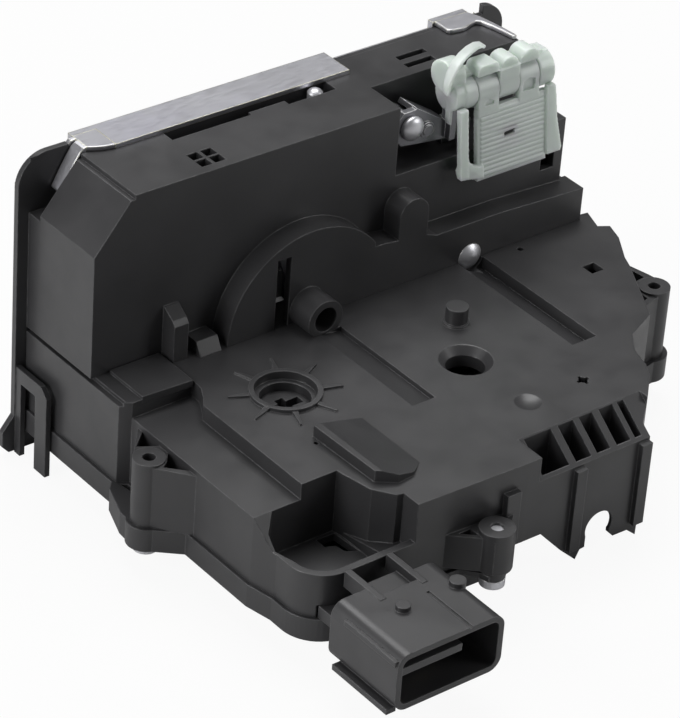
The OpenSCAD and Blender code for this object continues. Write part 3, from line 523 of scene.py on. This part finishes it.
def domed_rivet():
    """The lever's rivet with the crowned head of the photograph."""
    axis_x, axis_z = 59.3, 36.4
    head_r, shank_r, rim_r = 3.2, 2.2, 2.8
    near_axis = 0.001  # a hair-thin hole along the axis keeps every face four-sided
    turns = [math.radians(a) for a in range(9, 91, 9)]
    crown = [(head_r * math.sin(t), 31.5 - 1.5 * math.cos(t)) for t in turns]
    behind = [(head_r, 32.1), (shank_r, 32.1), (shank_r, 33.9), (rim_r, 33.9), (rim_r, 40.1), (shank_r, 40.1),
              (shank_r, 42.1), (near_axis, 42.1)]
    s = Solid()
    s.turned([(near_axis, 30.0)] + crown + behind, axis_x, axis_z)
    smooth(s.piece("lever_rivet_domed", "housing", "plated_steel", "lever_rivet"))


def formed_faceplate():
    """The faceplate with the photograph's rounded strip end, bent arm and narrow right tab."""
    low, high, back = 45.5, 46.7, 56.2  # the strip's faces in z, and the y where the added parts meet it
    above = 47.2
    tab = [(85.2, back + 0.2), (85.2, 51.6), (85.6, 51.0), (86.4, 50.6), (89.4, 50.2), (90.6, 50.4),
           (92.4, 51.0), (94.2, 51.4), (95.2, 50.4), (96.0, 47.6), (96.6, 44.4), (97.1, 40.6), (97.7, 40.3),
           (98.3, 40.6), (98.0, 44.4), (97.5, 48.4), (96.7, 53), (95.2, back + 0.2)]
    strip_end = [(-15.4, back + 0.2), (-22.0, back + 0.2), (-22.0, 50.45), (-20.6, 49.6), (-18.6, 48.7),
                 (-15.4, 48)]
    # over the edge and down the pocket
    bent_arm = [(-21.8, 46.7), (-22.8, 46.4), (-23.7, 45.6), (-25.2, 43.3), (-27.0, 40.2), (-28.7, 36.9),
                (-28.8, 36.3), (-28.2, 35.9), (-27.6, 36.3), (-26.0, 39.5), (-24.2, 42.7), (-22.9, 44.8),
                (-21.8, 45.5)]
    rear_lip = [(-21.8, 46.7), (-23.2, 46.5), (-24.2, 45.7), (-24.5, 44.9), (-23.6, 44.8), (-23.1, 45.3),
                (-21.8, 45.5)]
    s = Solid()
    s.bm.from_mesh(nodes["faceplate"].data)
    made = s.piece("faceplate_formed", "housing", "zinc_plate", "faceplate", copied=True)
    # the plain tab, its tip, and the strip's plain left end with its arm
    for near, far in (((84.0, 39, 45.3), (99, back - 0.02, above)),
                      ((95.3, 45, 44.4), (99, 58.5, above)),
                      ((-31, 47, 34), (-15.5, back - 0.02, above))):
        away = Solid()
        away.block(near, far)
        carve(made, away)
    added = Solid()
    added.prism(tab, "z", low, high)
    added.prism(strip_end, "z", low, high)
    added.prism(bent_arm, "y", 50.45, 54.45)
    added.prism(rear_lip, "y", 54.8, back + 0.1)
    add_rounded(made, added, 0.3, least_angle=50)
    made.data.shade_flat()


clip_top()
clip_leaf()
lever_short()
domed_rivet()
formed_faceplate()

FLOOR_HALF, FLOOR_GAP = 6.0, 0.0002  # half its width, and how far it lies under the part
FLOOR_GREY = 0.62
FLOOR_WHITE = 0.93  # share of the even white that the camera sees over the floor's own shading
WORLD_LIGHT = 0.15
LAMPS = (("top", (0.15, 0.30, 0.85), (0.7, 0.6), 7.8),
         ("left", (-0.75, 0.10, 0.32), (0.4, 0.6), 5.0),
         ("right", (0.70, -0.60, 0.40), (0.4, 0.5), 2.5))  # name, place, size, power
LAMP_AIM = (0.03, 0.0, 0.0)


def backdrop():
    """A pale floor that shows near white to the camera and keeps the object's shadow."""
    floor_z = cad_box[0].z - FLOOR_GAP
    corners = ((-FLOOR_HALF, -FLOOR_HALF), (FLOOR_HALF, -FLOOR_HALF),
               (FLOOR_HALF, FLOOR_HALF), (-FLOOR_HALF, FLOOR_HALF))
    mesh = bpy.data.meshes.new("floor")
    mesh.from_pydata([(x, y, floor_z) for x, y in corners], [], [(0, 1, 2, 3)])
    floor = bpy.data.objects.new("floor", mesh)
    bpy.context.collection.objects.link(floor)
    material = bpy.data.materials.new("floor")
    material.use_nodes = True
    tree = material.node_tree
    tree.nodes.clear()
    diffuse = tree.nodes.new("ShaderNodeBsdfDiffuse")
    diffuse.inputs["Color"].default_value = (FLOOR_GREY, FLOOR_GREY, FLOOR_GREY, 1)
    glow = tree.nodes.new("ShaderNodeEmission")
    path = tree.nodes.new("ShaderNodeLightPath")
    either = tree.nodes.new("ShaderNodeMath")
    either.operation = "MAXIMUM"
    share = tree.nodes.new("ShaderNodeMath")
    share.operation = "MULTIPLY"
    share.inputs[1].default_value = FLOOR_WHITE
    mixed = tree.nodes.new("ShaderNodeMixShader")
    out = tree.nodes.new("ShaderNodeOutputMaterial")
    for source, target in ((path.outputs["Is Camera Ray"], either.inputs[0]),
                           (path.outputs["Is Transmission Ray"], either.inputs[1]),
                           (either.outputs[0], share.inputs[0]),
                           (share.outputs[0], mixed.inputs[0]),
                           (diffuse.outputs[0], mixed.inputs[1]),
                           (glow.outputs[0], mixed.inputs[2]),
                           (mixed.outputs[0], out.inputs[0])):
        tree.links.new(source, target)
    mesh.materials.append(material)


def world():
    """White to the camera, and a weak even light for everything else."""
    made = bpy.data.worlds.new("world")
    scene.world = made
    made.use_nodes = True
    tree = made.node_tree
    tree.nodes.clear()
    glow = tree.nodes.new("ShaderNodeBackground")
    glow.inputs["Color"].default_value = (1, 1, 1, 1)
    path = tree.nodes.new("ShaderNodeLightPath")
    strength = tree.nodes.new("ShaderNodeMapRange")
    strength.inputs["To Min"].default_value = WORLD_LIGHT
    strength.inputs["To Max"].default_value = 1.0
    out = tree.nodes.new("ShaderNodeOutputWorld")
    tree.links.new(path.outputs["Is Camera Ray"], strength.inputs["Value"])
    tree.links.new(strength.outputs["Result"], glow.inputs["Strength"])
    tree.links.new(glow.outputs[0], out.inputs[0])


def lamp(name, at, size, power):
    data = bpy.data.lights.new(name, "AREA")
    data.shape = "RECTANGLE"
    data.size, data.size_y = size
    data.energy = power
    made = bpy.data.objects.new(name, data)
    bpy.context.collection.objects.link(made)
    made.location = at
    made.rotation_mode = "QUATERNION"
    made.rotation_quaternion = (Vector(LAMP_AIM) - Vector(at)).to_track_quat("-Z", "Y")


backdrop()
world()
for name, at, size, power in LAMPS:
    lamp(name, at, size, power)
